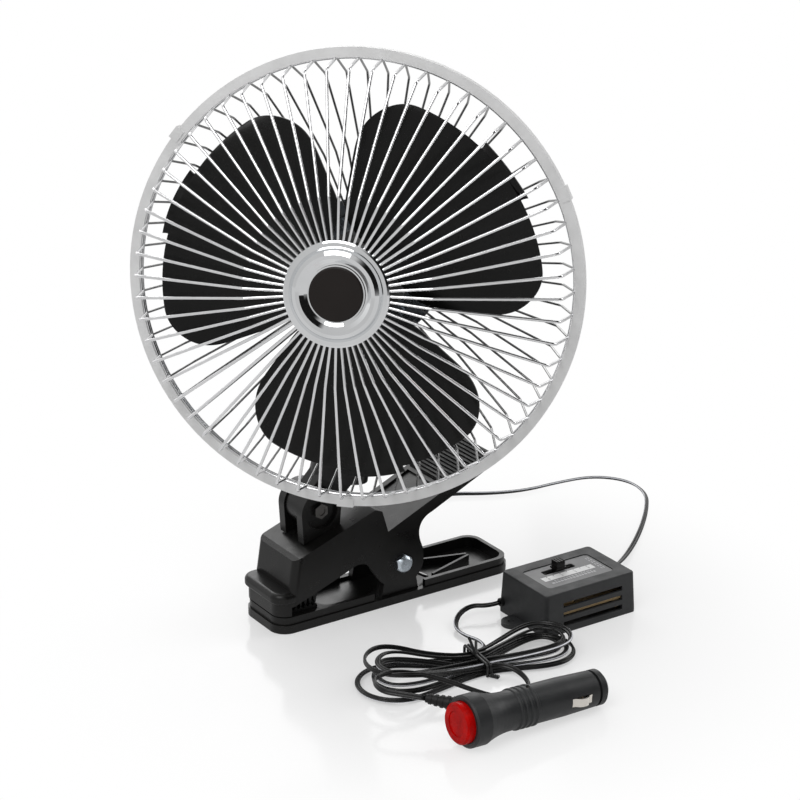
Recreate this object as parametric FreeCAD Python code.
import FreeCAD, Part
import math
import os

# Portable 12 volt clamp fan. X runs along the clamp with the nose at -X, Y along the clamp bolt,
# Z up, and the standing surface is z = 0. All sizes are millimetres.

V = FreeCAD.Vector
X, Y, Z = V(1, 0, 0), V(0, 1, 0), V(0, 0, 1)

# Fits and clearances
RUN_GAP = 0.05            # radial gap of a shaft in its hole
SOFT_GAP = 0.3            # gap between faces that pass each other
FACE_GAP = 0.1            # gap between parts that sit on each other

# Lower jaw
JAW_HALF = 81.0           # half the length of the lower jaw
JAW_HALF_WIDTH = 21.0
JAW_CORNER = 10.0
JAW_BASE = 5.0            # height of the wider base step
JAW_RIM = 9.5             # height of the rim
JAW_STEP = 1.0            # how far the rim stands in from the base
JAW_WALL = 2.5
JAW_FLOOR = 3.0
NOSE_LENGTH = 31.0        # thick part under the teeth
PAD_TOP = 12.0            # where the two toothed pads meet
PAD_HALF_WIDTH = 15.0
TOOTH_PITCH = 3.0
TOOTH_DEPTH = 1.2

# Clamp bolt
BOLT_X, BOLT_Z = 2.4, 25.0
BOLT_R = 3.0
BOLT_HEX = 10.0           # across flats
BOLT_HEAD = 4.0
NUT_HEIGHT = 5.0
EAR_R = 9.0
EAR_THICK = 4.0
SPRING_WIRE = 1.1
SPRING_TURNS = 5

# Upper jaw
SHELL_WALL = 2.5
LOBE_R = 14.6
HOUSING_FRONT = (-69.5, 43.0)
HOUSING_BACK = (-16.0, 62.5)
HANDLE_TIP = (66.0, 78.8)
WEB_START = 41.5          # height of the web's underside below the back of the housing
WEB_DROP = 6.8            # web's underside below the top of the handle's tip
LIP_FRONT = -82.0
LIP_BOTTOM = 10.4
LIP_TOP = 24.5
UPPER_PAD_BACK = 18.5     # seat of the upper pad
UPPER_PAD_END = -52.0
UPPER_TOOTH_DEPTH = 4.2
GRIP_LENGTH = 34.0
GRIP_RIBS = 14

# Tilt knuckle
KNUCKLE_X, KNUCKLE_Z = -47.0, 66.0
KNUCKLE_R = 13.0
TONGUE_HALF = 6.5
CHEEK_THICK = 6.0
KNUCKLE_BOLT_R = 2.5
KNUCKLE_HEX = 8.0

# Neck
TILT = 12.3               # lean of the neck away from the nose, degrees
SWING = 45.0              # turn of the head from straight ahead, degrees
NECK_BACK = 16.0          # swing axis behind the knuckle
NECK_HEIGHT = 142.0       # fan axis above the knuckle
NECK_LOW_R = 17.0
NECK_TOP_R = 13.5
NECK_START = 17.0
NECK_TOP = 90.0
PIVOT_R = 4.0
PIVOT_RISE = 12.0

# Fan head, on the swing axis, facing -X
RIM_X = -60.0             # plane of the rim
GUARD_R = 123.5
BAND_FACE = 5.3           # radial width of the rim band
BAND_HALF = 3.4
BAND_WALL = 0.8
RING_INSET = 5.9
RING_R = GUARD_R - RING_INSET
RING_WIRE = 1.1
WIRES = 60
FRONT_WIRE = 0.8
REAR_WIRE = 0.65
FRONT_DEPTH = 45.0        # rim plane to the flat front
FRONT_FLAT_R = 50.0
SHOULDER_INSET = 3.6
SHOULDER_R = RING_R - SHOULDER_INSET
SHOULDER_DEPTH = 25.0
REAR_KNEE_INSET = 8.6
REAR_KNEE_R = RING_R - REAR_KNEE_INSET
REAR_KNEE_DEPTH = 22.0
REAR_FLAT_R = 66.0
REAR_DEPTH = 42.0
CAP_R = 28.0
CAP_DISC_R = 14.4
REAR_PLATE_R = 40.0
PLATE_THICK = 1.2

# Motor and gearbox
MOTOR_R = 24.0
MOTOR_FRONT = -32.0
MOTOR_LENGTH = 50.0
CAN_WALL = 1.2
SHAFT_R = 1.6
GEARBOX_HALF = 15.0
GEARBOX_LENGTH = 42.0
GEARBOX_DROP = 26.0
CRANK_R = 8.0
CRANK_X = 17.0
BRACKET_WIDTH = 26.0
BRACKET_HEIGHT = 30.0

# Blades
BLADES = 3
BLADE_X = -70.0
HUB_R = 18.0
BLADE_TIP = 104.8
BLADE_START = 43.0        # turn of the first blade from the top
BLADE_THICK = 1.6
BLADE_RISE = -11.5        # axial reach of a blade's edge from its middle

# Cord
CORD_D = 3.0
GLAND_R = 4.2
GLAND_REACH = 5.0
GLAND_X, GLAND_Z = 13.5, 36.0

# Speed control box
BOX_X, BOX_Y = 75.2, -82.6
BOX_LENGTH, BOX_WIDTH, BOX_HEIGHT = 65.0, 45.0, 25.0
BOX_DRAFT = 1.0
BOX_WALL = 2.0
BOX_LID = 2.2
BASE_THICK = 2.4
EAR_Y = 2.6               # screw ears, from the middle of the box
PLATE_MARGIN = 9.2        # shell left round the dial plate
SLOT_X, SLOT_Y = -2.8, 5.8
SLOT_LENGTH = 22.0
SLOT_WIDTH = 5.0
VENT_STEP = 5.8
VENT_HEIGHT = 2.9
KNOB_LENGTH = 7.0
BOX_CORD_Z = 6.5
BOX_CORD_Y = 19.0         # from the middle of the box to both cord outlets

# Hank
HANK_X, HANK_Y = -14.0, -112.5
HANK_ANGLE = -8.0
HANK_REACH = 43.0         # middle of the hank to the centre of its end turns
HANK_LOOPS = 3            # loops in each layer
HANK_END_R = 8.0
HANK_END_STEP = 4.6
WAIST_HALF = 0.9
WAIST_STEP = 3.75
LAYER_STEP = 3.6

# Plug
PLUG_X, PLUG_Y = -71.0, -181.0
PLUG_LENGTH = 94.0
PLUG_R = 10.5
PLUG_TIP_R = 9.8
BARREL_END = 66.0         # end of the straight barrel, where its taper starts
FLARE_END = 31.0
COLLAR_R = 14.0
BUTTON_R = 11.2
BUTTON_PROUD = 4.5
CONTACT_X = 74.0
CONTACT_LENGTH = 13.0
CONTACT_WIDTH = 4.6
TIP_PIN_R = 3.5
PLUG_WALL = 1.8

os.makedirs("parts", exist_ok=True)
made = []


def save(name, shape, place=None):
    """Place the shape and write it as one STEP file."""
    if place is not None:
        shape = shape.copy()
        shape.Placement = place.multiply(shape.Placement)
    shape.exportStep("parts/" + name + ".step")
    made.append(name)
    solids = shape.Solids
    if not solids or not shape.isValid():
        print("check", name, len(solids), shape.isValid())
    return shape


def box(x0, x1, y0, y1, z0, z1):
    return Part.makeBox(x1 - x0, y1 - y0, z1 - z0, V(x0, y0, z0))


def rod(r, start, end):
    line = end - start
    return Part.makeCylinder(r, line.Length, start, line)


def tube(r_out, r_in, start, end):
    return rod(r_out, start, end).cut(rod(r_in, start, end))


def union(shapes):
    return shapes[0].fuse(shapes[1:]).removeSplitter()


def prism_xz(points, y0, y1):
    """A flat outline in X and Z, carried from y0 to y1."""
    ring = [V(x, y0, z) for x, z in points]
    face = Part.Face(Part.makePolygon(ring + ring[:1]))
    return face.extrude(V(0, y1 - y0, 0))


def slab(x0, x1, half, z0, z1, corner):
    """A plate with upright rounded corners."""
    body = box(x0, x1, -half, half, z0, z1)
    upright = [e for e in body.Edges if abs(e.tangentAt(e.FirstParameter).z) > 0.99]
    return body.makeFillet(corner, upright)


def turned(profile):
    """A profile of x and radius, turned about the X axis."""
    ring = [V(x, 0, r) for x, r in profile]
    face = Part.Face(Part.makePolygon(ring + ring[:1]))
    return face.revolve(V(0, 0, 0), X, 360)


def hexagon(flats, start, end):
    line = end - start
    corner = flats / math.sqrt(3)
    ring = []
    for i in range(6):
        a = math.radians(60 * i + 30)
        ring.append(V(corner * math.cos(a), corner * math.sin(a), 0))
    solid = Part.Face(Part.makePolygon(ring + ring[:1])).extrude(V(0, 0, line.Length))
    solid.Placement = FreeCAD.Placement(start, FreeCAD.Rotation(Z, line))
    return solid


def bend_radius(a, b, c, share=0.45):
    """The largest arc that the two runs at b allow."""
    run_in = b - a
    run_out = c - b
    half_turn = run_in.getAngle(run_out) / 2
    return share * min(run_in.Length, run_out.Length) / math.tan(half_turn)


def arc_path(points, radius=None):
    """Straight runs joined by tangent arcs, and the radii used."""
    edges = []
    radii = []
    at = points[0]
    for a, b, c in zip(points, points[1:], points[2:]):
        to_a = (a - b).normalize()
        to_c = (c - b).normalize()
        half_turn = (b - a).getAngle(c - b) / 2
        r = bend_radius(a, b, c) if radius is None else radius
        back = r * math.tan(half_turn)
        start = b + to_a * back
        end = b + to_c * back
        middle_way = (to_a + to_c).normalize()
        middle = b + middle_way * (r / math.cos(half_turn) - r)
        edges.append(Part.LineSegment(at, start).toShape())
        edges.append(Part.Arc(start, middle, end).toShape())
        radii.append(r)
        at = end
    edges.append(Part.LineSegment(at, points[-1]).toShape())
    return Part.Wire(edges), radii


def swept(wire, r):
    """A round section carried along a wire."""
    edge = wire.Edges[0]
    start = edge.valueAt(edge.FirstParameter)
    way = edge.tangentAt(edge.FirstParameter)
    section = Part.Wire(Part.makeCircle(r, start, way))
    return wire.makePipeShell([section], True, False)


def cord(name, points, d):
    """A free cord's tube, with its length, radii and volume printed."""
    wire, radii = arc_path([V(*p) for p in points])
    solid = swept(wire, d / 2)
    ratio = solid.Volume / (math.pi * d * d / 4 * wire.Length)
    print(name, "length", round(wire.Length, 1), "volume ratio", round(ratio, 4),
          "radii", [round(r, 1) for r in radii])
    return solid


def around(shape, count, start=0.0):
    """Copies of a shape spaced evenly about the X axis."""
    copies = []
    for i in range(count):
        one = shape.copy()
        one.rotate(V(0, 0, 0), X, start + 360.0 * i / count)
        copies.append(one)
    return copies


neck_place = FreeCAD.Placement(V(KNUCKLE_X, 0, KNUCKLE_Z), FreeCAD.Rotation(Y, TILT))
swing_place = FreeCAD.Placement(V(NECK_BACK, 0, NECK_HEIGHT), FreeCAD.Rotation(Z, SWING))
head_place = neck_place.multiply(swing_place)


def toothed_pad(x0, x1, z_back, z_tip, depth):
    """A pad whose cross ribs point at the other jaw."""
    way = 1 if z_tip > z_back else -1
    root = z_tip - way * depth
    parts = [box(x0, x1, -PAD_HALF_WIDTH, PAD_HALF_WIDTH, min(z_back, root), max(z_back, root))]
    count = int((x1 - x0) / TOOTH_PITCH)
    for i in range(count):
        x = x0 + (i + 0.5) * (x1 - x0) / count
        half = TOOTH_PITCH * 0.4
        ridge = [(x - half, root - way * 0.1), (x + half, root - way * 0.1), (x + 0.4, z_tip), (x - 0.4, z_tip)]
        parts.append(prism_xz(ridge, -PAD_HALF_WIDTH, PAD_HALF_WIDTH))
    return union(parts)


def lower_jaw():
    half = JAW_HALF_WIDTH
    inner = half - JAW_WALL
    base = slab(-JAW_HALF, JAW_HALF, half, 0, JAW_BASE, JAW_CORNER)
    rim = slab(-JAW_HALF + JAW_STEP, JAW_HALF - JAW_STEP, half - JAW_STEP, JAW_BASE, JAW_RIM,
               JAW_CORNER - JAW_STEP)
    body = base.fuse(rim)
    # Hollow tray behind the nose
    tray = slab(-JAW_HALF + NOSE_LENGTH, JAW_HALF - JAW_STEP - JAW_WALL, inner - JAW_STEP,
                JAW_FLOOR, JAW_RIM + 1, JAW_CORNER - JAW_WALL)
    body = body.cut(tray)
    # The rim stops where the side plates of the upper jaw come down
    reach = LOBE_R + 1.7
    for side in (-1, 1):
        y0, y1 = sorted((side * (inner - JAW_STEP - 1), side * (half + 1)))
        body = body.cut(box(BOLT_X - reach - 2.4, BOLT_X + reach, y0, y1, JAW_BASE, JAW_RIM + 1))
    # Ears for the bolt, inside the side plates
    outer_y = half - SHELL_WALL - SOFT_GAP
    inner_y = outer_y - EAR_THICK
    for side in (-1, 1):
        y0, y1 = sorted((side * inner_y, side * outer_y))
        ear = rod(EAR_R, V(BOLT_X, y0, BOLT_Z), V(BOLT_X, y1, BOLT_Z))
        foot = prism_xz([(BOLT_X - EAR_R, BOLT_Z), (BOLT_X - EAR_R - 4, JAW_FLOOR - 0.5),
                         (BOLT_X + EAR_R + 4, JAW_FLOOR - 0.5), (BOLT_X + EAR_R, BOLT_Z)], y0, y1)
        body = body.fuse([ear, foot])
    body = body.cut(rod(BOLT_R + RUN_GAP, V(BOLT_X, -half, BOLT_Z), V(BOLT_X, half, BOLT_Z)))
    # Ribs that meet in a V in the tail
    for side in (-1, 1):
        rib = box(0, 34, -0.8, 0.8, JAW_FLOOR - 0.5, JAW_RIM - 2)
        rib.rotate(V(0, 0, 0), Z, -side * 17)
        rib.translate(V(30, side * 11, 0))
        body = body.fuse(rib)
    # Pocket for the toothed pad
    pocket = box(-JAW_HALF + 4, -JAW_HALF + NOSE_LENGTH - 2, -PAD_HALF_WIDTH - FACE_GAP,
                 PAD_HALF_WIDTH + FACE_GAP, JAW_RIM - 3, JAW_RIM + 1)
    return body.cut(pocket).removeSplitter()


def side_curve():
    """Points of the smooth lower edge of the upper jaw, from the handle round the bolt to the arch."""
    under = [(22.5, 52.3), (18.6, 50.5), (15.8, 47.8), (14.2, 44.4), (13.8, 40.6), (14.6, 36.2), (16.2, 31.5)]
    lobe = []
    for a in range(5, -116, -20):
        lobe.append((BOLT_X + LOBE_R * math.cos(math.radians(a)),
                     BOLT_Z + LOBE_R * math.sin(math.radians(a))))
    arch = [(-8.5, 13.5), (-12.2, 16.2), (-15.0, 19.4), (-17.2, 22.9), (-19.0, 26.2), (-21.6, 29.4),
            (-25.0, 31.0), (-28.6, 31.2), (-32.4, 30.1), (-38.0, 27.9)]
    return under + lobe + arch


def side_face():
    """The outline of the upper jaw seen along the bolt."""
    front_x, front_z = HOUSING_FRONT
    back_x, back_z = HOUSING_BACK
    tip_x, tip_z = HANDLE_TIP
    straight = [(-38.0, 27.9), (-45.0, 25.2), (front_x - 2.5, 15.7), (front_x - 2.5, LIP_TOP + 3),
                (front_x, front_z), (front_x + 3, front_z + 1.6), (back_x, back_z),
                (back_x + 4.5, back_z - 2), (back_x + 8.5, back_z - 15.5), (tip_x, tip_z),
                (tip_x + 2, tip_z - 1.6), (tip_x + 1.6, tip_z - 4.6), (tip_x - 2.5, tip_z - 8), (22.5, 52.3)]
    curve = Part.BSplineCurve()
    curve.interpolate([V(x, 0, z) for x, z in side_curve()])
    edges = Part.makePolygon([V(x, 0, z) for x, z in straight]).Edges
    return Part.Face(Part.Wire(edges + [curve.toShape()]))


def hollow_outline():
    """The hollow inside the upper jaw, open below."""
    front_x, front_z = HOUSING_FRONT
    back_x, back_z = HOUSING_BACK
    tip_x, tip_z = HANDLE_TIP
    w = SHELL_WALL
    return [(front_x + 1.5, LIP_TOP - 2), (front_x + w, front_z - w + 0.5), (back_x - 1, back_z - w - 1.5),
            (back_x + 3.5, WEB_START), (tip_x - 5, tip_z - WEB_DROP), (tip_x - 6, tip_z - 18),
            (tip_x - 32, tip_z - 42), (BOLT_X + LOBE_R + 2, 0), (BOLT_X - 30, 0), (-48, 12)]


def web_height(x):
    """Height of the underside of the handle's web."""
    x0 = HOUSING_BACK[0] + 3.5
    x1, z1 = HANDLE_TIP[0] - 5, HANDLE_TIP[1] - WEB_DROP
    return WEB_START + (z1 - WEB_START) * (x - x0) / (x1 - x0)


def upper_jaw():
    half = JAW_HALF_WIDTH
    inner = half - SHELL_WALL
    body = side_face().extrude(V(0, 2 * half, 0))
    body.translate(V(0, -half, 0))
    front = [e for e in body.Edges if e.CenterOfMass.x < HOUSING_FRONT[0] + 0.5
             and LIP_TOP + 3.5 < e.CenterOfMass.z < HOUSING_FRONT[1] - 1 and e.BoundBox.YLength < 0.1]
    body = body.makeFillet(4.5, front)
    body = body.cut(prism_xz(hollow_outline(), -inner, inner))
    # Block that holds the upper pad
    body = body.fuse(box(LIP_FRONT + 5, UPPER_PAD_END, -PAD_HALF_WIDTH - 0.5, PAD_HALF_WIDTH + 0.5,
                         UPPER_PAD_BACK, LIP_TOP))
    # Wall of the nose, and the rounded lip that stands out over it
    back = HOUSING_FRONT[0]
    wall = slab(LIP_FRONT + 1.8, -50, half - 0.8, LIP_BOTTOM, LIP_TOP - 2, 8.5)
    wall = wall.common(box(LIP_FRONT, back - 2.4, -half, half, 0, LIP_TOP))
    lip = slab(LIP_FRONT, -50, half, LIP_TOP - 6.4, LIP_TOP, 8)
    lip = lip.makeFillet(3.0, [e for e in lip.Edges if e.BoundBox.ZMin > LIP_TOP - 0.1])
    lip = lip.makeFillet(1.6, [e for e in lip.Edges if e.BoundBox.ZMax < LIP_TOP - 6.3])
    lip = lip.common(box(LIP_FRONT, back + 2, -half, half, 0, LIP_TOP))
    pocket = box(LIP_FRONT + 4.8, UPPER_PAD_END + 1, -PAD_HALF_WIDTH - FACE_GAP, PAD_HALF_WIDTH + FACE_GAP,
                 LIP_BOTTOM - 1, UPPER_PAD_BACK)
    body = body.fuse([wall, lip]).cut(pocket)
    # Sunken top of the handle, between its side rails
    slope = math.degrees(math.atan2(HANDLE_TIP[1] - HOUSING_BACK[1] + 15.5,
                                    HANDLE_TIP[0] - HOUSING_BACK[0] - 8.5))
    recess = box(2, 42, -inner + 1.5, inner - 1.5, -1.3, 4)
    recess.rotate(V(0, 0, 0), Y, -slope)
    recess.translate(V(HOUSING_BACK[0] + 8.5, 0, HOUSING_BACK[1] - 15.5))
    body = body.cut(recess)
    # Knuckle cheeks on their pedestals
    for side in (-1, 1):
        y0, y1 = sorted((side * (TONGUE_HALF + SOFT_GAP), side * (TONGUE_HALF + SOFT_GAP + CHEEK_THICK)))
        cheek = rod(KNUCKLE_R, V(KNUCKLE_X, y0, KNUCKLE_Z), V(KNUCKLE_X, y1, KNUCKLE_Z))
        foot = prism_xz([(KNUCKLE_X - KNUCKLE_R, KNUCKLE_Z), (KNUCKLE_X - KNUCKLE_R + 1, 48.5),
                         (KNUCKLE_X + KNUCKLE_R - 1, 55), (KNUCKLE_X + KNUCKLE_R, KNUCKLE_Z)], y0, y1)
        body = body.fuse([cheek, foot])
    # Holes for the two bolts, with a sunk seat for the knuckle nut
    body = body.cut(rod(BOLT_R, V(BOLT_X, -half, BOLT_Z), V(BOLT_X, half, BOLT_Z)))
    cheek_out = TONGUE_HALF + SOFT_GAP + CHEEK_THICK
    body = body.cut(rod(KNUCKLE_BOLT_R, V(KNUCKLE_X, -cheek_out, KNUCKLE_Z), V(KNUCKLE_X, cheek_out, KNUCKLE_Z)))
    seat = cheek_out - 2.5
    body = body.cut(rod(KNUCKLE_R - 2.5, V(KNUCKLE_X, -cheek_out - 1, KNUCKLE_Z), V(KNUCKLE_X, -seat, KNUCKLE_Z)))
    body = body.cut(rod(GLAND_R - 1.2, V(GLAND_X, half - 4, GLAND_Z), V(GLAND_X, half + 1, GLAND_Z)))
    return body.removeSplitter()


def handle_grip():
    """Cross ribs on the end of the handle."""
    slope = math.degrees(math.atan2(HANDLE_TIP[1] - HOUSING_BACK[1] + 15.5,
                                    HANDLE_TIP[0] - HOUSING_BACK[0] - 8.5))
    wide = JAW_HALF_WIDTH - 2
    parts = [box(-GRIP_LENGTH, 0, -wide, wide, 0, 0.8)]
    for i in range(GRIP_RIBS):
        x = -GRIP_LENGTH + (i + 0.5) * GRIP_LENGTH / GRIP_RIBS
        parts.append(box(x - 0.6, x + 0.6, -wide, wide, 0.7, 1.8))
    grip = union(parts)
    grip.rotate(V(0, 0, 0), Y, -slope)
    grip.translate(V(HANDLE_TIP[0] - 1, 0, HANDLE_TIP[1] - 0.3))
    return grip


def clamp_bolt():
    half = JAW_HALF_WIDTH
    shank = rod(BOLT_R, V(BOLT_X, -half, BOLT_Z), V(BOLT_X, half + NUT_HEIGHT + 2, BOLT_Z))
    head = hexagon(BOLT_HEX, V(BOLT_X, -half - BOLT_HEAD, BOLT_Z), V(BOLT_X, -half, BOLT_Z))
    trim = Part.makeSphere(BOLT_HEX * 0.62, V(BOLT_X, -half - BOLT_HEAD + BOLT_HEX * 0.5, BOLT_Z))
    return shank.fuse(head.common(trim))


def clamp_nut():
    half = JAW_HALF_WIDTH
    nut = hexagon(BOLT_HEX, V(BOLT_X, half, BOLT_Z), V(BOLT_X, half + NUT_HEIGHT, BOLT_Z))
    return nut.cut(rod(BOLT_R, V(BOLT_X, half, BOLT_Z), V(BOLT_X, half + NUT_HEIGHT, BOLT_Z)))


def jaw_spring():
    """Torsion spring round the bolt, one leg up under the handle and one down on the tray."""
    coil_r = BOLT_R + SPRING_WIRE + 0.4
    pitch = 2 * SPRING_WIRE + 0.6
    width = pitch * (SPRING_TURNS + 0.5)
    coil = Part.makeHelix(pitch, width, coil_r)
    section = Part.Wire(Part.makeCircle(SPRING_WIRE, V(coil_r, 0, 0), Y))
    solid = Part.Wire(coil).makePipeShell([section], True, True)
    # Laid along the bolt, with both ends pointing at the tail
    solid.rotate(V(0, 0, 0), X, -90)
    solid.rotate(V(0, 0, 0), Y, 90)
    solid.translate(V(BOLT_X, -width / 2, BOLT_Z))
    low = V(BOLT_X, -width / 2, BOLT_Z - coil_r)
    high = V(BOLT_X, width / 2, BOLT_Z + coil_r)
    low_end = V(BOLT_X + 26, -width / 2, JAW_FLOOR + SPRING_WIRE + SOFT_GAP)
    high_end = V(BOLT_X + 26, width / 2, web_height(BOLT_X + 26) - SPRING_WIRE - SOFT_GAP)
    legs = [rod(SPRING_WIRE, low, low_end), rod(SPRING_WIRE, high, high_end)]
    return solid.fuse(legs)


def knuckle_bolt():
    out = TONGUE_HALF + SOFT_GAP + CHEEK_THICK
    seat = out - 2.5
    shank = rod(KNUCKLE_BOLT_R, V(KNUCKLE_X, -out + 0.5, KNUCKLE_Z), V(KNUCKLE_X, out, KNUCKLE_Z))
    head = rod(KNUCKLE_BOLT_R * 1.9, V(KNUCKLE_X, out, KNUCKLE_Z), V(KNUCKLE_X, out + 2.4, KNUCKLE_Z))
    nut = hexagon(KNUCKLE_HEX, V(KNUCKLE_X, -out, KNUCKLE_Z), V(KNUCKLE_X, -seat, KNUCKLE_Z))
    nut = nut.cut(rod(KNUCKLE_BOLT_R, V(KNUCKLE_X, -out, KNUCKLE_Z), V(KNUCKLE_X, -seat, KNUCKLE_Z)))
    return shank.fuse(head), nut


def neck():
    """Tongue in the knuckle, and the column up to the swing pivot."""
    tongue = rod(KNUCKLE_R - 1, V(0, -TONGUE_HALF, 0), V(0, TONGUE_HALF, 0))
    web = prism_xz([(-KNUCKLE_R + 1, 0), (KNUCKLE_R - 1, 0), (NECK_BACK + 12, NECK_START + 6),
                    (NECK_BACK - 14, NECK_START + 6)], -TONGUE_HALF, TONGUE_HALF)
    column = Part.makeCone(NECK_LOW_R, NECK_TOP_R, NECK_TOP - NECK_START, V(NECK_BACK, 0, NECK_START), Z)
    body = union([tongue, web, column])
    body = body.cut(rod(KNUCKLE_BOLT_R + RUN_GAP, V(0, -20, 0), V(0, 20, 0)))
    return body.cut(rod(PIVOT_R, V(NECK_BACK, 0, NECK_TOP - 20), V(NECK_BACK, 0, NECK_TOP)))


def swing_pivot():
    return rod(PIVOT_R, V(NECK_BACK, 0, NECK_TOP - 20), V(NECK_BACK, 0, NECK_TOP + PIVOT_RISE))


def link_arm():
    """Flat link from the neck to the crank, left open at the crank."""
    z0 = NECK_TOP + FACE_GAP
    arm = box(0, CRANK_X - 3, -3, 3, z0, z0 + 1.2)
    arm = arm.fuse(rod(5.5, V(0, 0, z0), V(0, 0, z0 + 1.2)))
    arm = arm.fuse(rod(3, V(CRANK_X - 3, 0, z0), V(CRANK_X - 3, 0, z0 + 1.2)))
    arm = arm.cut(rod(PIVOT_R + RUN_GAP, V(0, 0, z0), V(0, 0, z0 + 1.2)))
    arm.rotate(V(0, 0, 0), Z, SWING)
    arm.translate(V(NECK_BACK, 0, 0))
    return arm


def guard_wire(points, r):
    wire, radii = arc_path([V(x, 0, radius) for radius, x in points], 3.0)
    return swept(wire, r)


def front_wires():
    x = RIM_X
    line = [(CAP_R - 3, x - FRONT_DEPTH), (FRONT_FLAT_R, x - FRONT_DEPTH), (SHOULDER_R, x - SHOULDER_DEPTH),
            (RING_R, x - RING_WIRE)]
    return Part.makeCompound(around(guard_wire(line, FRONT_WIRE), WIRES, 3.0))


def rear_wires():
    x = RIM_X
    line = [(RING_R, x + RING_WIRE), (REAR_KNEE_R, x + REAR_KNEE_DEPTH), (REAR_FLAT_R, x + REAR_DEPTH),
            (REAR_PLATE_R - 3, x + REAR_DEPTH)]
    return Part.makeCompound(around(guard_wire(line, REAR_WIRE), WIRES, 3.0))


def rim_ring(side):
    """One of the two wire rings that the wires hook over."""
    return Part.makeTorus(RING_R + 0.6, RING_WIRE, V(RIM_X + side * (RING_WIRE + 0.1), 0, 0), X)


def rim_band():
    """Flat channel bent round both rings."""
    r_in = GUARD_R - BAND_FACE
    w = BAND_WALL
    x = RIM_X
    h = BAND_HALF
    outline = [(x - h, r_in), (x - h, GUARD_R), (x + h, GUARD_R), (x + h, r_in), (x + h - w, r_in),
               (x + h - w, GUARD_R - w), (x - h + w, GUARD_R - w), (x - h + w, r_in)]
    return turned(outline)


def band_clips():
    """Two spring clips and the joint sleeve of the band, each standing on the band's outside."""
    h = BAND_HALF
    clips = []
    for angle, length, proud in ((56, 8, 1.0), (-62, 7, 1.6), (172, 9, 0.8)):
        clip = box(RIM_X - h - 0.5, RIM_X + h + 0.5, -length / 2, length / 2,
                   GUARD_R - BAND_FACE + 1.5, GUARD_R + proud)
        clear = turned([(RIM_X - h, 0), (RIM_X - h, GUARD_R), (RIM_X + h, GUARD_R), (RIM_X + h, 0)])
        clip = clip.cut(clear)
        clip.rotate(V(0, 0, 0), X, angle)
        clips.append(clip)
    return Part.makeCompound(clips)


def hub_cap():
    """Stepped bright cap over the roots of the front wires."""
    x = RIM_X - FRONT_DEPTH - FRONT_WIRE
    deep = CAP_DISC_R + 0.8
    profile = [(x + 0.0, CAP_R), (x - 1.6, CAP_R), (x - 2.2, CAP_R - 1), (x - 2.2, CAP_R - 3),
               (x - 1.2, CAP_R - 4), (x - 3.4, CAP_R - 5), (x - 4.6, CAP_R - 7), (x - 4.4, CAP_R - 9),
               (x - 2.6, deep + 1.6), (x - 1.6, deep), (x - 1.2, 0), (x - 0.2, 0), (x - 0.2, CAP_R - 2.5),
               (x, CAP_R - 2.5)]
    return turned(profile)


def hub_disc():
    x = RIM_X - FRONT_DEPTH - FRONT_WIRE
    return turned([(x - 2.5, 0), (x - 2.5, CAP_DISC_R - 0.8), (x - 2.0, CAP_DISC_R),
                   (x - 1.6, CAP_DISC_R), (x - 1.6, CAP_DISC_R - 1), (x - 1.25, 0)])


def front_plate():
    """Washer plate inside the front guard that the cap screws to."""
    x = RIM_X - FRONT_DEPTH + FRONT_WIRE
    return tube(CAP_R - 3, 3, V(x, 0, 0), V(x + PLATE_THICK, 0, 0))


def rear_plate():
    x = RIM_X + REAR_DEPTH + REAR_WIRE
    plate = tube(REAR_PLATE_R, MOTOR_R + FACE_GAP, V(x, 0, 0), V(x + PLATE_THICK, 0, 0))
    for hole in around(rod(1.6, V(x - 1, 0, MOTOR_R + 5), V(x + 3, 0, MOTOR_R + 5)), 4, 45):
        plate = plate.cut(hole)
    return plate


def motor_flange():
    """Flange of the motor housing behind the rear plate."""
    x = RIM_X + REAR_DEPTH + REAR_WIRE + PLATE_THICK
    ring = tube(MOTOR_R + 9, MOTOR_R, V(x, 0, 0), V(x + 3, 0, 0))
    for hole in around(rod(1.5, V(x, 0, MOTOR_R + 5), V(x + 3, 0, MOTOR_R + 5)), 4, 45):
        ring = ring.cut(hole)
    return ring


def guard_screws():
    x = RIM_X + REAR_DEPTH + REAR_WIRE
    screw = rod(1.5, V(x, 0, MOTOR_R + 5), V(x + PLATE_THICK + 3, 0, MOTOR_R + 5))
    head = rod(2.6, V(x - 1.4, 0, MOTOR_R + 5), V(x, 0, MOTOR_R + 5))
    head = head.cut(box(x - 1.5, x - 0.8, -0.35, 0.35, MOTOR_R, MOTOR_R + 10))
    return Part.makeCompound(around(screw.fuse(head), 4, 45))


def motor_can():
    x0 = MOTOR_FRONT
    x1 = MOTOR_FRONT + MOTOR_LENGTH
    body = rod(MOTOR_R, V(x0, 0, 0), V(x1, 0, 0)).cut(rod(MOTOR_R - CAN_WALL, V(x0 + CAN_WALL, 0, 0), V(x1, 0, 0)))
    body = body.fuse(rod(6, V(x0 - 2.5, 0, 0), V(x0 + CAN_WALL, 0, 0)))
    slots = around(box(x0 + 5, x0 + 12, -1.4, 1.4, MOTOR_R - 3, MOTOR_R + 1), 8, 22.5)
    body = body.cut(slots[0].fuse(slots[1:]))
    return body.cut(rod(SHAFT_R + RUN_GAP, V(x0 - 3, 0, 0), V(x0 + 3, 0, 0)))


def motor_cap():
    """Rounded rear cap of the motor."""
    x = MOTOR_FRONT + MOTOR_LENGTH
    r = MOTOR_R
    return turned([(x, 0), (x, r), (x + 4, r), (x + 8, r - 3), (x + 10.5, r - 8), (x + 11.5, r - 14),
                   (x + 11.5, 0)])


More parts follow.
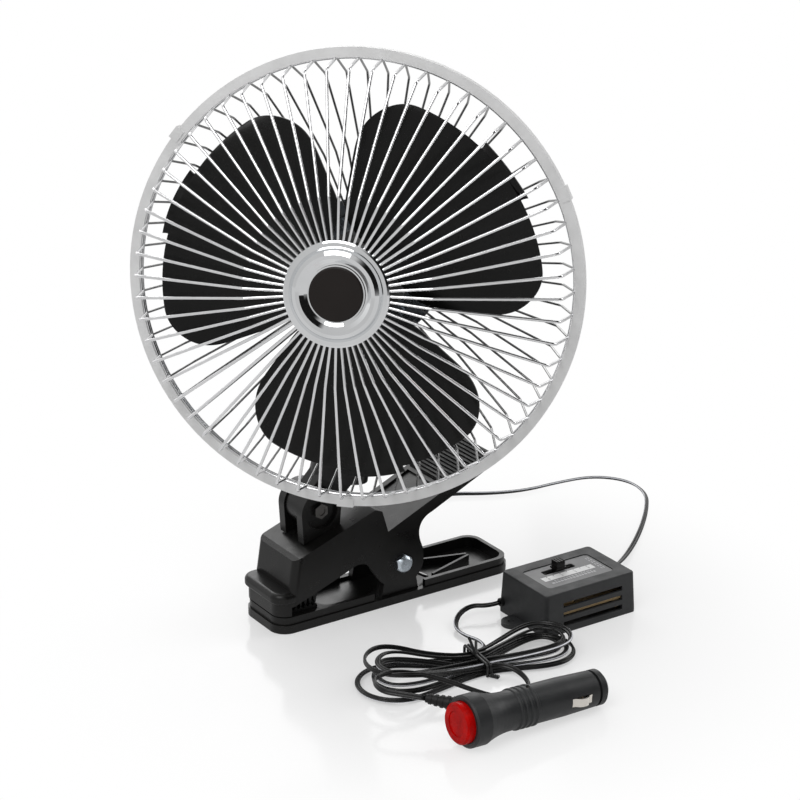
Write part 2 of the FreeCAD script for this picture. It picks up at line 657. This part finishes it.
def rotor():
    x0 = MOTOR_FRONT + 8
    x1 = MOTOR_FRONT + MOTOR_LENGTH - 10
    core = tube(14, SHAFT_R, V(x0, 0, 0), V(x1, 0, 0))
    slots = around(box(x0 - 1, x1 + 1, -1.2, 1.2, 10, 16), 5)
    return core.cut(slots[0].fuse(slots[1:]))


def magnets():
    x0 = MOTOR_FRONT + 14
    x1 = MOTOR_FRONT + MOTOR_LENGTH - 6
    ring = tube(MOTOR_R - CAN_WALL, 16, V(x0, 0, 0), V(x1, 0, 0))
    gap = box(x0 - 1, x1 + 1, -40, 40, -4, 4)
    return ring.cut(gap)


def motor_shaft():
    return rod(SHAFT_R, V(BLADE_X - 13, 0, 0), V(MOTOR_FRONT + MOTOR_LENGTH - 3, 0, 0))


def gearbox():
    """Housing under the motor that turns on the swing pivot."""
    top = -MOTOR_R * 0.6
    bottom = -MOTOR_R - GEARBOX_DROP
    x0 = -GEARBOX_LENGTH * 0.3
    x1 = x0 + GEARBOX_LENGTH
    g = GEARBOX_HALF
    case = box(x0, x1, -g, g, bottom, top)
    upright = [e for e in case.Edges if abs(e.tangentAt(e.FirstParameter).z) > 0.99]
    case = case.makeFillet(5, upright)
    case = case.cut(rod(MOTOR_R + FACE_GAP, V(x0 - 1, 0, 0), V(x1 + 1, 0, 0)))
    pivot_top = NECK_TOP + PIVOT_RISE - NECK_HEIGHT
    case = case.cut(rod(PIVOT_R + RUN_GAP, V(0, 0, bottom - 1), V(0, 0, pivot_top + 0.5)))
    # Well of the crank, open below
    return case.cut(rod(CRANK_R + 0.6, V(CRANK_X, 0, bottom - 1), V(CRANK_X, 0, bottom + 6)))


def crank():
    """Crank disc with its pin, and its spindle in the gearbox."""
    bottom = -MOTOR_R - GEARBOX_DROP
    disc = rod(CRANK_R, V(CRANK_X, 0, bottom + 1.5), V(CRANK_X, 0, bottom + 5.5))
    pin = rod(1.5, V(CRANK_X + 5, 0, bottom), V(CRANK_X + 5, 0, bottom + 2))
    return disc.fuse(pin)


def side_bracket():
    """Slotted metal plate beside the gearbox."""
    y = GEARBOX_HALF + FACE_GAP
    plate = box(-6, -6 + BRACKET_WIDTH, y, y + 1, -MOTOR_R - GEARBOX_DROP + 3,
                -MOTOR_R - GEARBOX_DROP + 3 + BRACKET_HEIGHT * 0.7)
    for i in range(2):
        z = -MOTOR_R - GEARBOX_DROP + 7 + 8 * i
        plate = plate.cut(box(3, 5, y - 1, y + 3, z, z + 5))
    both = [plate, plate.mirror(V(0, 0, 0), Y)]
    return Part.makeCompound(both)


def blade_half_angle(r):
    """Half of a blade's spread at a radius, in degrees."""
    known = [(0.165, 27), (0.34, 54), (0.50, 52.5), (0.70, 49.5), (0.85, 46.5), (0.94, 38.5), (0.98, 25),
             (1.0, 10)]
    share = r / BLADE_TIP
    for (a, wa), (b, wb) in zip(known, known[1:]):
        if share <= b:
            return wa + (wb - wa) * (share - a) / (b - a)
    return known[-1][1]


def blade():
    """One broad pitched blade from the hub outwards."""
    steps = 8
    rows = []
    for share in (0.165, 0.25, 0.36, 0.50, 0.65, 0.79, 0.90, 0.965, 1.0):
        r = BLADE_TIP * share
        half = blade_half_angle(r)
        lift = BLADE_RISE * min(1.0, 0.55 + 0.6 * share)
        row = []
        for i in range(steps + 1):
            t = -1 + 2.0 * i / steps
            a = math.radians(t * half)
            x = BLADE_X + lift * (half / 48.0) * t - 3.0 * share * (1 - t * t) - BLADE_THICK / 2
            row.append(V(x, r * math.sin(a), r * math.cos(a)))
        rows.append(row)
    surface = Part.BSplineSurface()
    surface.interpolate(rows)
    return surface.toShape().extrude(V(BLADE_THICK, 0, 0))


def fan_blades():
    hub = turned([(BLADE_X - 14, SHAFT_R), (BLADE_X - 14, HUB_R - 5), (BLADE_X - 12, HUB_R - 1),
                  (BLADE_X - 9, HUB_R), (BLADE_X + 14, HUB_R), (BLADE_X + 14, HUB_R - 2),
                  (BLADE_X - 8, HUB_R - 2), (BLADE_X - 8, 5), (BLADE_X + 12, 5), (BLADE_X + 12, SHAFT_R)])
    return hub.fuse(around(blade(), BLADES, BLADE_START))


def cord_gland():
    y = JAW_HALF_WIDTH
    body = rod(GLAND_R, V(GLAND_X, y, GLAND_Z), V(GLAND_X, y + 2, GLAND_Z))
    body = body.fuse(Part.makeCone(GLAND_R - 0.7, CORD_D / 2 + 0.4, GLAND_REACH - 2, V(GLAND_X, y + 2, GLAND_Z), Y))
    return body.fuse(rod(GLAND_R - 1.2 - FACE_GAP, V(GLAND_X, y - SHELL_WALL, GLAND_Z), V(GLAND_X, y, GLAND_Z)))


def knob_slot():
    """Slot that the knob slides in, through the shell and its plate."""
    h = BOX_HEIGHT
    slot = slab(-SLOT_LENGTH / 2, SLOT_LENGTH / 2, SLOT_WIDTH / 2, h - BOX_LID - 1, h + 1, 1.2)
    slot.translate(V(SLOT_X, SLOT_Y, 0))
    return slot


def box_shell():
    """Top shell of the speed control, with its drafted sides, slots and label recess."""
    l, w, h = BOX_LENGTH / 2, BOX_WIDTH / 2, BOX_HEIGHT
    d = BOX_DRAFT

    def rect(half_l, half_w, z):
        ring = [V(-half_l, -half_w, z), V(half_l, -half_w, z), V(half_l, half_w, z), V(-half_l, half_w, z)]
        return Part.makePolygon(ring + ring[:1])

    body = Part.makeLoft([rect(l, w, BASE_THICK), rect(l - d, w - d, h)], True, True)
    corners = [e for e in body.Edges if e.BoundBox.ZLength > h / 2]
    body = body.makeFillet(2.5, corners)
    top = [e for e in body.Edges if e.BoundBox.ZMin > h - 0.01]
    body = body.makeFillet(0.9, top)
    body = body.cut(box(-l + BOX_WALL, l - BOX_WALL, -w + BOX_WALL, w - BOX_WALL, 0, h - BOX_LID))
    # Recess for the dial plate, and the slot of the knob
    m = PLATE_MARGIN
    body = body.cut(slab(-l + m, l - m, w - m, h - 0.9, h + 1, 2.5))
    body = body.cut(knob_slot())
    # Three cooling slots in the long side and in the far side
    for i in range(3):
        z = 3.9 + VENT_STEP * i
        for side in (-1, 1):
            y0, y1 = sorted((side * (w - BOX_WALL - 1), side * (w + 1)))
            body = body.cut(box(-l + 13, l - 10, y0, y1, z, z + VENT_HEIGHT))
    # Outlets for the two cords
    body = body.cut(rod(CORD_D / 2 + 0.6, V(-l - 1, BOX_CORD_Y, BOX_CORD_Z), V(l + 1, BOX_CORD_Y, BOX_CORD_Z)))
    body.translate(V(BOX_X, BOX_Y, 0))
    return body


def box_base():
    """Bottom plate with two round screw ears."""
    l, w = BOX_LENGTH / 2, BOX_WIDTH / 2
    plate = slab(-l, l, w, 0, BASE_THICK - FACE_GAP / 2, 2.5)
    for side in (-1, 1):
        ear = rod(6.5, V(side * (l + 4.5), EAR_Y, 0), V(side * (l + 4.5), EAR_Y, BASE_THICK - FACE_GAP / 2))
        ear = ear.fuse(box(min(side * l, side * (l + 5)), max(side * l, side * (l + 5)), EAR_Y - 6.5, EAR_Y + 6.5, 0,
                           BASE_THICK - FACE_GAP / 2))
        plate = plate.fuse(ear).cut(rod(2.1, V(side * (l + 5.5), EAR_Y, -1), V(side * (l + 5.5), EAR_Y, 5)))
    plate = plate.removeSplitter()
    plate.translate(V(BOX_X, BOX_Y, 0))
    return plate


def dial_plate():
    l, w, h = BOX_LENGTH / 2, BOX_WIDTH / 2, BOX_HEIGHT
    m = PLATE_MARGIN + 0.15
    plate = slab(-l + m, l - m, w - m, h - 0.9, h - 0.45, 2.3)
    plate = plate.cut(knob_slot())
    plate.translate(V(BOX_X, BOX_Y, 0))
    return plate


def speed_knob():
    """Ribbed slider, in its middle place."""
    h = BOX_HEIGHT
    half = SLOT_WIDTH / 2 - SOFT_GAP
    stem = box(-KNOB_LENGTH / 2 + 1, KNOB_LENGTH / 2 - 1, -half, half, h - BOX_LID - 2.2, h + 0.6)
    head = box(-KNOB_LENGTH / 2, KNOB_LENGTH / 2, -half - 0.9, half + 0.9, h + 0.4, h + 1.6)
    head = head.fuse(box(-KNOB_LENGTH / 2 + 0.7, KNOB_LENGTH / 2 - 0.7, -half - 0.5, half + 0.5, h + 1.5, h + 5.6))
    for i in range(3):
        x = -1.8 + 1.8 * i
        head = head.cut(box(x - 0.4, x + 0.4, -9, 9, h + 4.7, h + 6))
    knob = stem.fuse(head)
    knob = knob.fuse(box(-KNOB_LENGTH / 2 - 1, KNOB_LENGTH / 2 + 1, -half - 2, half + 2,
                         h - BOX_LID - 2.6, h - BOX_LID - 0.4))
    knob.translate(V(BOX_X + SLOT_X, BOX_Y + SLOT_Y, 0))
    return knob.removeSplitter()


def circuit_board():
    """Board with the switch body, the resistor and the solder side."""
    l, w, h = BOX_LENGTH / 2, BOX_WIDTH / 2, BOX_HEIGHT
    z = 10.0
    board = box(-l + BOX_WALL + 0.4, l - BOX_WALL - 0.4, -w + BOX_WALL + 0.4, BOX_CORD_Y - 3, z, z + 1.6)
    switch = box(SLOT_X - 13, SLOT_X + 13, SLOT_Y - 5, SLOT_Y + 5, z + 1.6, h - BOX_LID - 3.0)
    resistor = rod(2.2, V(-20, -12, z + 3.8), V(-6, -12, z + 3.8))
    posts = []
    for sx in (-1, 1):
        posts.append(rod(2, V(sx * 24, -14, BASE_THICK - FACE_GAP / 2), V(sx * 24, -14, z)))
    part = union([board, switch, resistor.fuse(rod(1.4, V(-13, -12, z + 1), V(-13, -12, z + 3)))] + posts)
    part.translate(V(BOX_X, BOX_Y, 0))
    return part


def box_bushing(side):
    """Cord outlet of the box, on its left (-1) or right (+1) face."""
    x = BOX_X + side * (BOX_LENGTH / 2 - BOX_WALL)
    y = BOX_Y + BOX_CORD_Y
    a = V(x, y, BOX_CORD_Z)
    inner = rod(CORD_D / 2 + 0.5, a, V(x + side * (BOX_WALL + 0.2), y, BOX_CORD_Z))
    face = BOX_X + side * (BOX_LENGTH / 2 + 0.05)
    outer = rod(CORD_D / 2 + 1.0, V(face, y, BOX_CORD_Z), V(face + side * 1.6, y, BOX_CORD_Z))
    return inner.fuse(outer)


def biarc(p0, t0, p1, t1):
    """Two arcs that join two points with the given directions."""
    v = p1 - p0
    t = t0 + t1
    along = v.dot(t)
    closing = 2 * (1 - t0.dot(t1))
    if closing < 1e-9:
        d = v.dot(v) / (4 * v.dot(t1))
    else:
        d = (-along + math.sqrt(along * along + closing * v.dot(v))) / closing
    joint = (p0 + t0 * d + p1 - t1 * d) * 0.5
    edges = []
    for start, way, end, ahead in ((p0, t0, joint, True), (p1, t1 * -1, joint, False)):
        chord = end - start
        normal = way.cross(chord)
        inward = normal.cross(way).normalize()
        r = chord.dot(chord) / (2 * chord.dot(inward))
        centre = start + inward * r
        middle = centre + ((start - centre) + (end - centre)).normalize() * r
        a, b = (start, end) if ahead else (end, start)
        edges.append(Part.Arc(a, middle, b).toShape())
    return edges


def hank_stops():
    """Points and directions of the hank: in through the lower layer and out through the upper."""
    low = CORD_D / 2
    stops = []
    steps = HANK_LOOPS * 4
    order = [HANK_LOOPS - i * 0.25 for i in range(steps + 1)]
    order = [(k, low) for k in order] + [(i * 0.25, low + LAYER_STEP) for i in range(1, steps - 1)]
    for i, (k, z) in enumerate(order):
        waist = WAIST_HALF + WAIST_STEP * k
        r = HANK_END_R + HANK_END_STEP * k
        place = i % 4
        if place == 0:
            stops.append((V(0, waist, z), V(-1, 0, 0)))
        elif place == 1:
            stops.append((V(-HANK_REACH, r, z), V(-1, 0, 0)))
            stops.append((V(-HANK_REACH - r, 0, z), V(0, -1, 0)))
            stops.append((V(-HANK_REACH, -r, z), V(1, 0, 0)))
        elif place == 2:
            stops.append((V(0, -waist, z), V(1, 0, 0)))
        else:
            stops.append((V(HANK_REACH, -r, z), V(1, 0, 0)))
            stops.append((V(HANK_REACH + r, 0, z), V(0, 1, 0)))
            stops.append((V(HANK_REACH, r, z), V(-1, 0, 0)))
    return stops


def least_gap(edges, d):
    """The least gap of the cord to itself, measured on points along it."""
    points = []
    run = 0.0
    for edge in edges:
        count = max(2, int(edge.Length / 2.0))
        for i in range(count):
            along = edge.Length * i / count
            points.append((edge.valueAt(edge.getParameterByLength(along)), run + along))
        run += edge.Length
    least = 1e9
    for i, (a, la) in enumerate(points):
        for b, lb in points[i + 1:]:
            if abs(lb - la) > 5 * d:
                apart = (a - b).Length
                if apart < least:
                    least = apart
    return least - d


def hank():
    stops = hank_stops()
    edges = []
    lead = V(CORD_D, 0, 0)
    first, way = stops[0]
    edges.append(Part.LineSegment(first + lead, first).toShape())
    for (p0, t0), (p1, t1) in zip(stops, stops[1:]):
        edges.extend(biarc(p0, t0, p1, t1))
    last, way = stops[-1]
    edges.append(Part.LineSegment(last, last + way * CORD_D).toShape())
    wire = Part.Wire(edges)
    solid = swept(wire, CORD_D / 2)
    print("hank length", round(wire.Length, 1), "least gap", round(least_gap(edges, CORD_D), 2),
          "volume ratio", round(solid.Volume / (math.pi * CORD_D ** 2 / 4 * wire.Length), 4))
    return solid, first + lead, last + way * CORD_D


hank_place = FreeCAD.Placement(V(HANK_X, HANK_Y, 0), FreeCAD.Rotation(Z, HANK_ANGLE))


def hank_tie():
    """Wire tie round the waist, with its twisted ends."""
    half_y = WAIST_HALF + WAIST_STEP * HANK_LOOPS + CORD_D / 2
    height = CORD_D + LAYER_STEP
    r = 0.8
    y0, y1 = -half_y + WAIST_STEP * 0.5 - 0.4 - r, half_y + 0.4 + r
    z1 = height + 0.4 + r
    wire, radii = arc_path([V(4, y0, r + 0.01), V(4, y0, z1), V(4, y1, z1), V(4, y1, r + 0.01)], 2.0)
    tail = rod(r, V(4, 1.0, z1), V(2, 6.0, z1 + 9))
    other = rod(r, V(4, 1.0, z1), V(7, 7.0, z1 + 5))
    return swept(wire, r).fuse([tail, other])


plug_slope = math.degrees(math.asin((COLLAR_R - PLUG_TIP_R) / (PLUG_LENGTH - 16)))
plug_rise = COLLAR_R / math.cos(math.radians(plug_slope)) + 12 * math.sin(math.radians(plug_slope))
plug_place = FreeCAD.Placement(V(PLUG_X, PLUG_Y, plug_rise), FreeCAD.Rotation(Y, plug_slope))


def plug_flare():
    """Hollow curve from the collar down to the barrel."""
    x0 = BUTTON_PROUD + 9
    steps = 6
    return [(x0 + (FLARE_END - x0) * i / steps, PLUG_R + (COLLAR_R - PLUG_R) * (1 - i / steps) ** 2)
            for i in range(steps + 1)]


def plug_body():
    """Hollow plug body with collar, grip rings and contact windows."""
    start = BUTTON_PROUD
    outer = [(start, 0), (start, COLLAR_R - 1), (start + 1, COLLAR_R)] + plug_flare()
    for i in range(4):
        x = 34 + 3.4 * i
        outer += [(x, PLUG_R), (x + 0.6, PLUG_R + 0.7), (x + 1.6, PLUG_R + 0.7), (x + 2.2, PLUG_R)]
    outer += [(BARREL_END, PLUG_R), (PLUG_LENGTH - 8, PLUG_TIP_R), (PLUG_LENGTH - 8, 0)]
    body = turned(outer)
    body = body.cut(rod(BUTTON_R + SOFT_GAP, V(start - 1, 0, 0), V(start + 8, 0, 0)))
    body = body.cut(rod(PLUG_TIP_R - PLUG_WALL, V(start + 9.5, 0, 0), V(PLUG_LENGTH, 0, 0)))
    body = body.cut(rod(6.5, V(start + 7, 0, 0), V(start + 10, 0, 0)))
    for side in (-1, 1):
        y0, y1 = sorted((side * (PLUG_R - 4), side * (PLUG_R + 2)))
        w = CONTACT_WIDTH / 2 + SOFT_GAP
        l = CONTACT_LENGTH / 2 + SOFT_GAP
        body = body.cut(box(CONTACT_X - l, CONTACT_X + l, y0, y1, -w, w))
    return body.cut(rod(1.3, V(45, 0, PLUG_R - 5), V(45, 0, PLUG_R + 3)))


def plug_button():
    x = 0.0
    cap = turned([(x, 0), (x, BUTTON_R - 1), (x + 1, BUTTON_R), (x + BUTTON_PROUD + 4, BUTTON_R),
                  (x + BUTTON_PROUD + 4, 0)])
    return cap.cut(turned([(x - 1, 0), (x - 1, BUTTON_R - 4), (x + 0.5, BUTTON_R - 4.5), (x + 0.5, 0)]))


def small_spring(x0, x1, r, wire_r, turns):
    """Compression spring along the plug."""
    pitch = (x1 - x0 - 2 * wire_r) / turns
    coil = Part.makeLongHelix(pitch, pitch * turns, r)
    section = Part.Wire(Part.makeCircle(wire_r, V(r, 0, 0), Y))
    solid = Part.Wire(coil).makePipeShell([section], True, True)
    solid.rotate(V(0, 0, 0), Y, 90)
    solid.translate(V(x0 + wire_r, 0, 0))
    return solid


def side_contact(side):
    """Bowed spring strip in a window of the plug."""
    half = CONTACT_LENGTH / 2
    inner = PLUG_TIP_R - PLUG_WALL - 1.5
    out = PLUG_R + 1.6
    t = 0.9
    line = [(-half, PLUG_R - 0.7), (-half * 0.7, PLUG_R - 0.4), (-half * 0.4, out - 0.5), (-half * 0.15, out),
            (half * 0.2, out), (half * 0.45, out - 0.5), (half * 0.7, PLUG_R - 0.5), (half, PLUG_R - 0.8)]
    ring = [V(CONTACT_X + x, side * y, -CONTACT_WIDTH / 2) for x, y in line]
    ring += [V(CONTACT_X + x, side * (y - t), -CONTACT_WIDTH / 2) for x, y in reversed(line)]
    strip = Part.Face(Part.makePolygon(ring + ring[:1])).extrude(V(0, 0, CONTACT_WIDTH))
    y0, y1 = sorted((side * inner, side * (PLUG_R - 1.0)))
    return strip.fuse(box(CONTACT_X - 2, CONTACT_X + 2, y0, y1, -CONTACT_WIDTH / 2, CONTACT_WIDTH / 2))


def plug_nut():
    x = PLUG_LENGTH - 8
    ring = turned([(x + 0.1, TIP_PIN_R + SOFT_GAP), (x + 0.1, PLUG_TIP_R - 1.6), (x + 1.6, PLUG_TIP_R - 1.6),
                   (x + 1.6, PLUG_TIP_R), (x + 5, PLUG_TIP_R), (x + 7, PLUG_TIP_R - 2.2),
                   (x + 7, TIP_PIN_R + SOFT_GAP)])
    return ring


def tip_contact():
    x = PLUG_LENGTH - 8
    return turned([(x - 5, 0), (x - 5, TIP_PIN_R + 2), (x - 3.2, TIP_PIN_R + 2), (x - 3.2, TIP_PIN_R),
                   (x + 8.5, TIP_PIN_R), (x + 10.5, TIP_PIN_R - 1.5), (x + 11, 0)])


def plug_fuse():
    """Glass fuse on the plug's axis."""
    return rod(2.6, V(PLUG_LENGTH - 46, 0, 0), V(PLUG_LENGTH - 24, 0, 0))


def plug_carrier():
    """Insulator inside the plug that carries the fuse, the contacts and both springs."""
    r = PLUG_TIP_R - PLUG_WALL - FACE_GAP
    solid = rod(r, V(24, 0, 0), V(PLUG_LENGTH - 48, 0, 0))
    ledge = box(PLUG_LENGTH - 49, PLUG_LENGTH - 24.5, -r * 0.7, r * 0.7, -5.6, -2.9)
    return solid.fuse(ledge)


def plug_screw():
    screw = rod(1.25, V(45, 0, PLUG_TIP_R - PLUG_WALL + FACE_GAP), V(45, 0, PLUG_R - 0.4))
    return screw.cut(box(43, 47, -0.25, 0.25, PLUG_R - 0.9, PLUG_R))


RELIEF_ROOT = V(14, COLLAR_R - 0.2, 1.0)
RELIEF_WAY = V(-0.66, 0.75, 0.05)
RELIEF_LENGTH = 20.0


def strain_relief():
    """Tapered ribbed sleeve on the far side of the collar."""
    way = V(RELIEF_WAY).normalize()
    start = RELIEF_ROOT - way * 5
    body = Part.makeCone(4.4, CORD_D / 2 + 0.7, RELIEF_LENGTH + 5, start, way)
    for i in range(5):
        at = RELIEF_ROOT + way * (4.0 + 3.2 * i)
        body = body.fuse(Part.makeCylinder(4.0 - 0.28 * i, 1.5, at, way))
    collar = turned([(BUTTON_PROUD, 0), (BUTTON_PROUD, COLLAR_R)] + plug_flare() + [(40, PLUG_R), (40, 0)])
    return body.cut(collar).removeSplitter()


def cord_points():
    """The three free stretches of the cord, as points chosen by hand."""
    low = CORD_D / 2
    y = JAW_HALF_WIDTH + GLAND_REACH
    out_y = BOX_Y + BOX_CORD_Y
    right = BOX_X + BOX_LENGTH / 2 + 1.65
    left = BOX_X - BOX_LENGTH / 2 - 1.65
    first = [(GLAND_X, y, GLAND_Z), (GLAND_X, y + 16, GLAND_Z), (GLAND_X + 7, y + 32, GLAND_Z - 14),
             (GLAND_X + 20, y + 40, 8), (60, 78, low), (84, 94, low), (112, 94, low), (134, 79, low),
             (157, 70, low), (183, 69, low), (208, 65, low), (223, 47, low), (220, 24, low),
             (204, 4, low), (184, -16, low), (162, -35, low), (140, out_y + 12, 3),
             (right + 12, out_y, BOX_CORD_Z), (right, out_y, BOX_CORD_Z)]
    return first, (left, out_y, BOX_CORD_Z)


clamp_parts = [
    ("lower_jaw", lower_jaw()),
    ("lower_pad", toothed_pad(-JAW_HALF + 4.1, -JAW_HALF + NOSE_LENGTH - 2.1, JAW_RIM - 3, PAD_TOP,
                              TOOTH_DEPTH)),
    ("upper_jaw", upper_jaw()),
    ("handle_grip", handle_grip()),
    ("clamp_bolt", clamp_bolt()),
    ("clamp_nut", clamp_nut()),
    ("jaw_spring", jaw_spring()),
    ("cord_gland", cord_gland()),
]
for name, shape in clamp_parts:
    save(name, shape)

save("upper_pad", toothed_pad(LIP_FRONT + 5.1, UPPER_PAD_END, UPPER_PAD_BACK, PAD_TOP + SOFT_GAP,
                              UPPER_TOOTH_DEPTH))
tilt_bolt, tilt_nut = knuckle_bolt()
save("knuckle_bolt", tilt_bolt)
save("knuckle_nut", tilt_nut)

for name, shape in [("neck", neck()), ("swing_pivot", swing_pivot()), ("link_arm", link_arm())]:
    save(name, shape, neck_place)

head_parts = [
    ("front_wires", front_wires()), ("rear_wires", rear_wires()),
    ("front_ring", rim_ring(-1)), ("rear_ring", rim_ring(1)),
    ("rim_band", rim_band()), ("band_clips", band_clips()),
    ("hub_cap", hub_cap()), ("hub_disc", hub_disc()), ("front_plate", front_plate()),
    ("rear_plate", rear_plate()), ("motor_flange", motor_flange()), ("guard_screws", guard_screws()),
    ("motor_can", motor_can()), ("motor_cap", motor_cap()), ("motor_magnets", magnets()),
    ("motor_rotor", rotor()), ("motor_shaft", motor_shaft()), ("fan_blades", fan_blades()),
    ("gearbox", gearbox()), ("swing_crank", crank()), ("side_bracket", side_bracket()),
]
for name, shape in head_parts:
    save(name, shape, head_place)

for name, shape in [("box_shell", box_shell()), ("box_base", box_base()), ("dial_plate", dial_plate()),
                    ("speed_knob", speed_knob()), ("circuit_board", circuit_board()),
                    ("box_inlet", box_bushing(1)), ("box_outlet", box_bushing(-1))]:
    save(name, shape)

plug_parts = [
    ("plug_body", plug_body()), ("plug_button", plug_button()),
    ("button_spring", small_spring(BUTTON_PROUD + 4.2, 23.9, 4.8, 0.5, 4)),
    ("contact_far", side_contact(1)), ("contact_near", side_contact(-1)),
    ("plug_nut", plug_nut()), ("tip_contact", tip_contact()),
    ("tip_spring", small_spring(PLUG_LENGTH - 23.9, PLUG_LENGTH - 13.1, 3.2, 0.4, 6)),
    ("plug_fuse", plug_fuse()), ("plug_carrier", plug_carrier()),
    ("plug_screw", plug_screw()), ("strain_relief", strain_relief()),
]
for name, shape in plug_parts:
    save(name, shape, plug_place)

hank_solid, hank_start, hank_end = hank()
save("cord_hank", hank_solid, hank_place)
save("hank_tie", hank_tie(), hank_place)
hank_in = hank_place.multVec(hank_start)
hank_out = hank_place.multVec(hank_end)
hank_way = hank_place.Rotation.multVec(X)
relief_tip = plug_place.multVec(RELIEF_ROOT + V(RELIEF_WAY).normalize() * RELIEF_LENGTH)
relief_way = plug_place.Rotation.multVec(V(RELIEF_WAY).normalize())

first_route, box_left = cord_points()
save("cord_to_box", cord("cord_to_box", first_route, CORD_D))

LOW = CORD_D / 2


def beside_hank(x, y, z):
    return tuple(hank_place.multVec(V(x, y, z)))


second_route = [box_left, (box_left[0] - 8.35, box_left[1], BOX_CORD_Z), (25, -57.5, 6.5), (14, -60, 4.5),
                (7.5, -69, 2.2), (7, -78.5, LOW), beside_hank(20, 25.5, LOW), beside_hank(17, 16.2, LOW),
                tuple(hank_in + hank_way * 6), tuple(hank_in)]
save("cord_to_hank", cord("cord_to_hank", second_route, CORD_D))

third_route = [tuple(hank_out), tuple(hank_out + hank_way * 6), beside_hank(17, -14.5, 5.1),
               beside_hank(20.5, -23.5, 3.2), (1, -147, LOW), (-7, -155.5, LOW), (-19, -155, 2),
               (-30, -146, 5), (-43, -133, 10.5), (-57, -123, 15), (-71, -118, 17.5), (-84, -122, 18.5),
               (-87, -134.5, 18), tuple(relief_tip + relief_way * 12), tuple(relief_tip)]
save("cord_to_plug", cord("cord_to_plug", third_route, CORD_D))
print(len(made), "nodes")
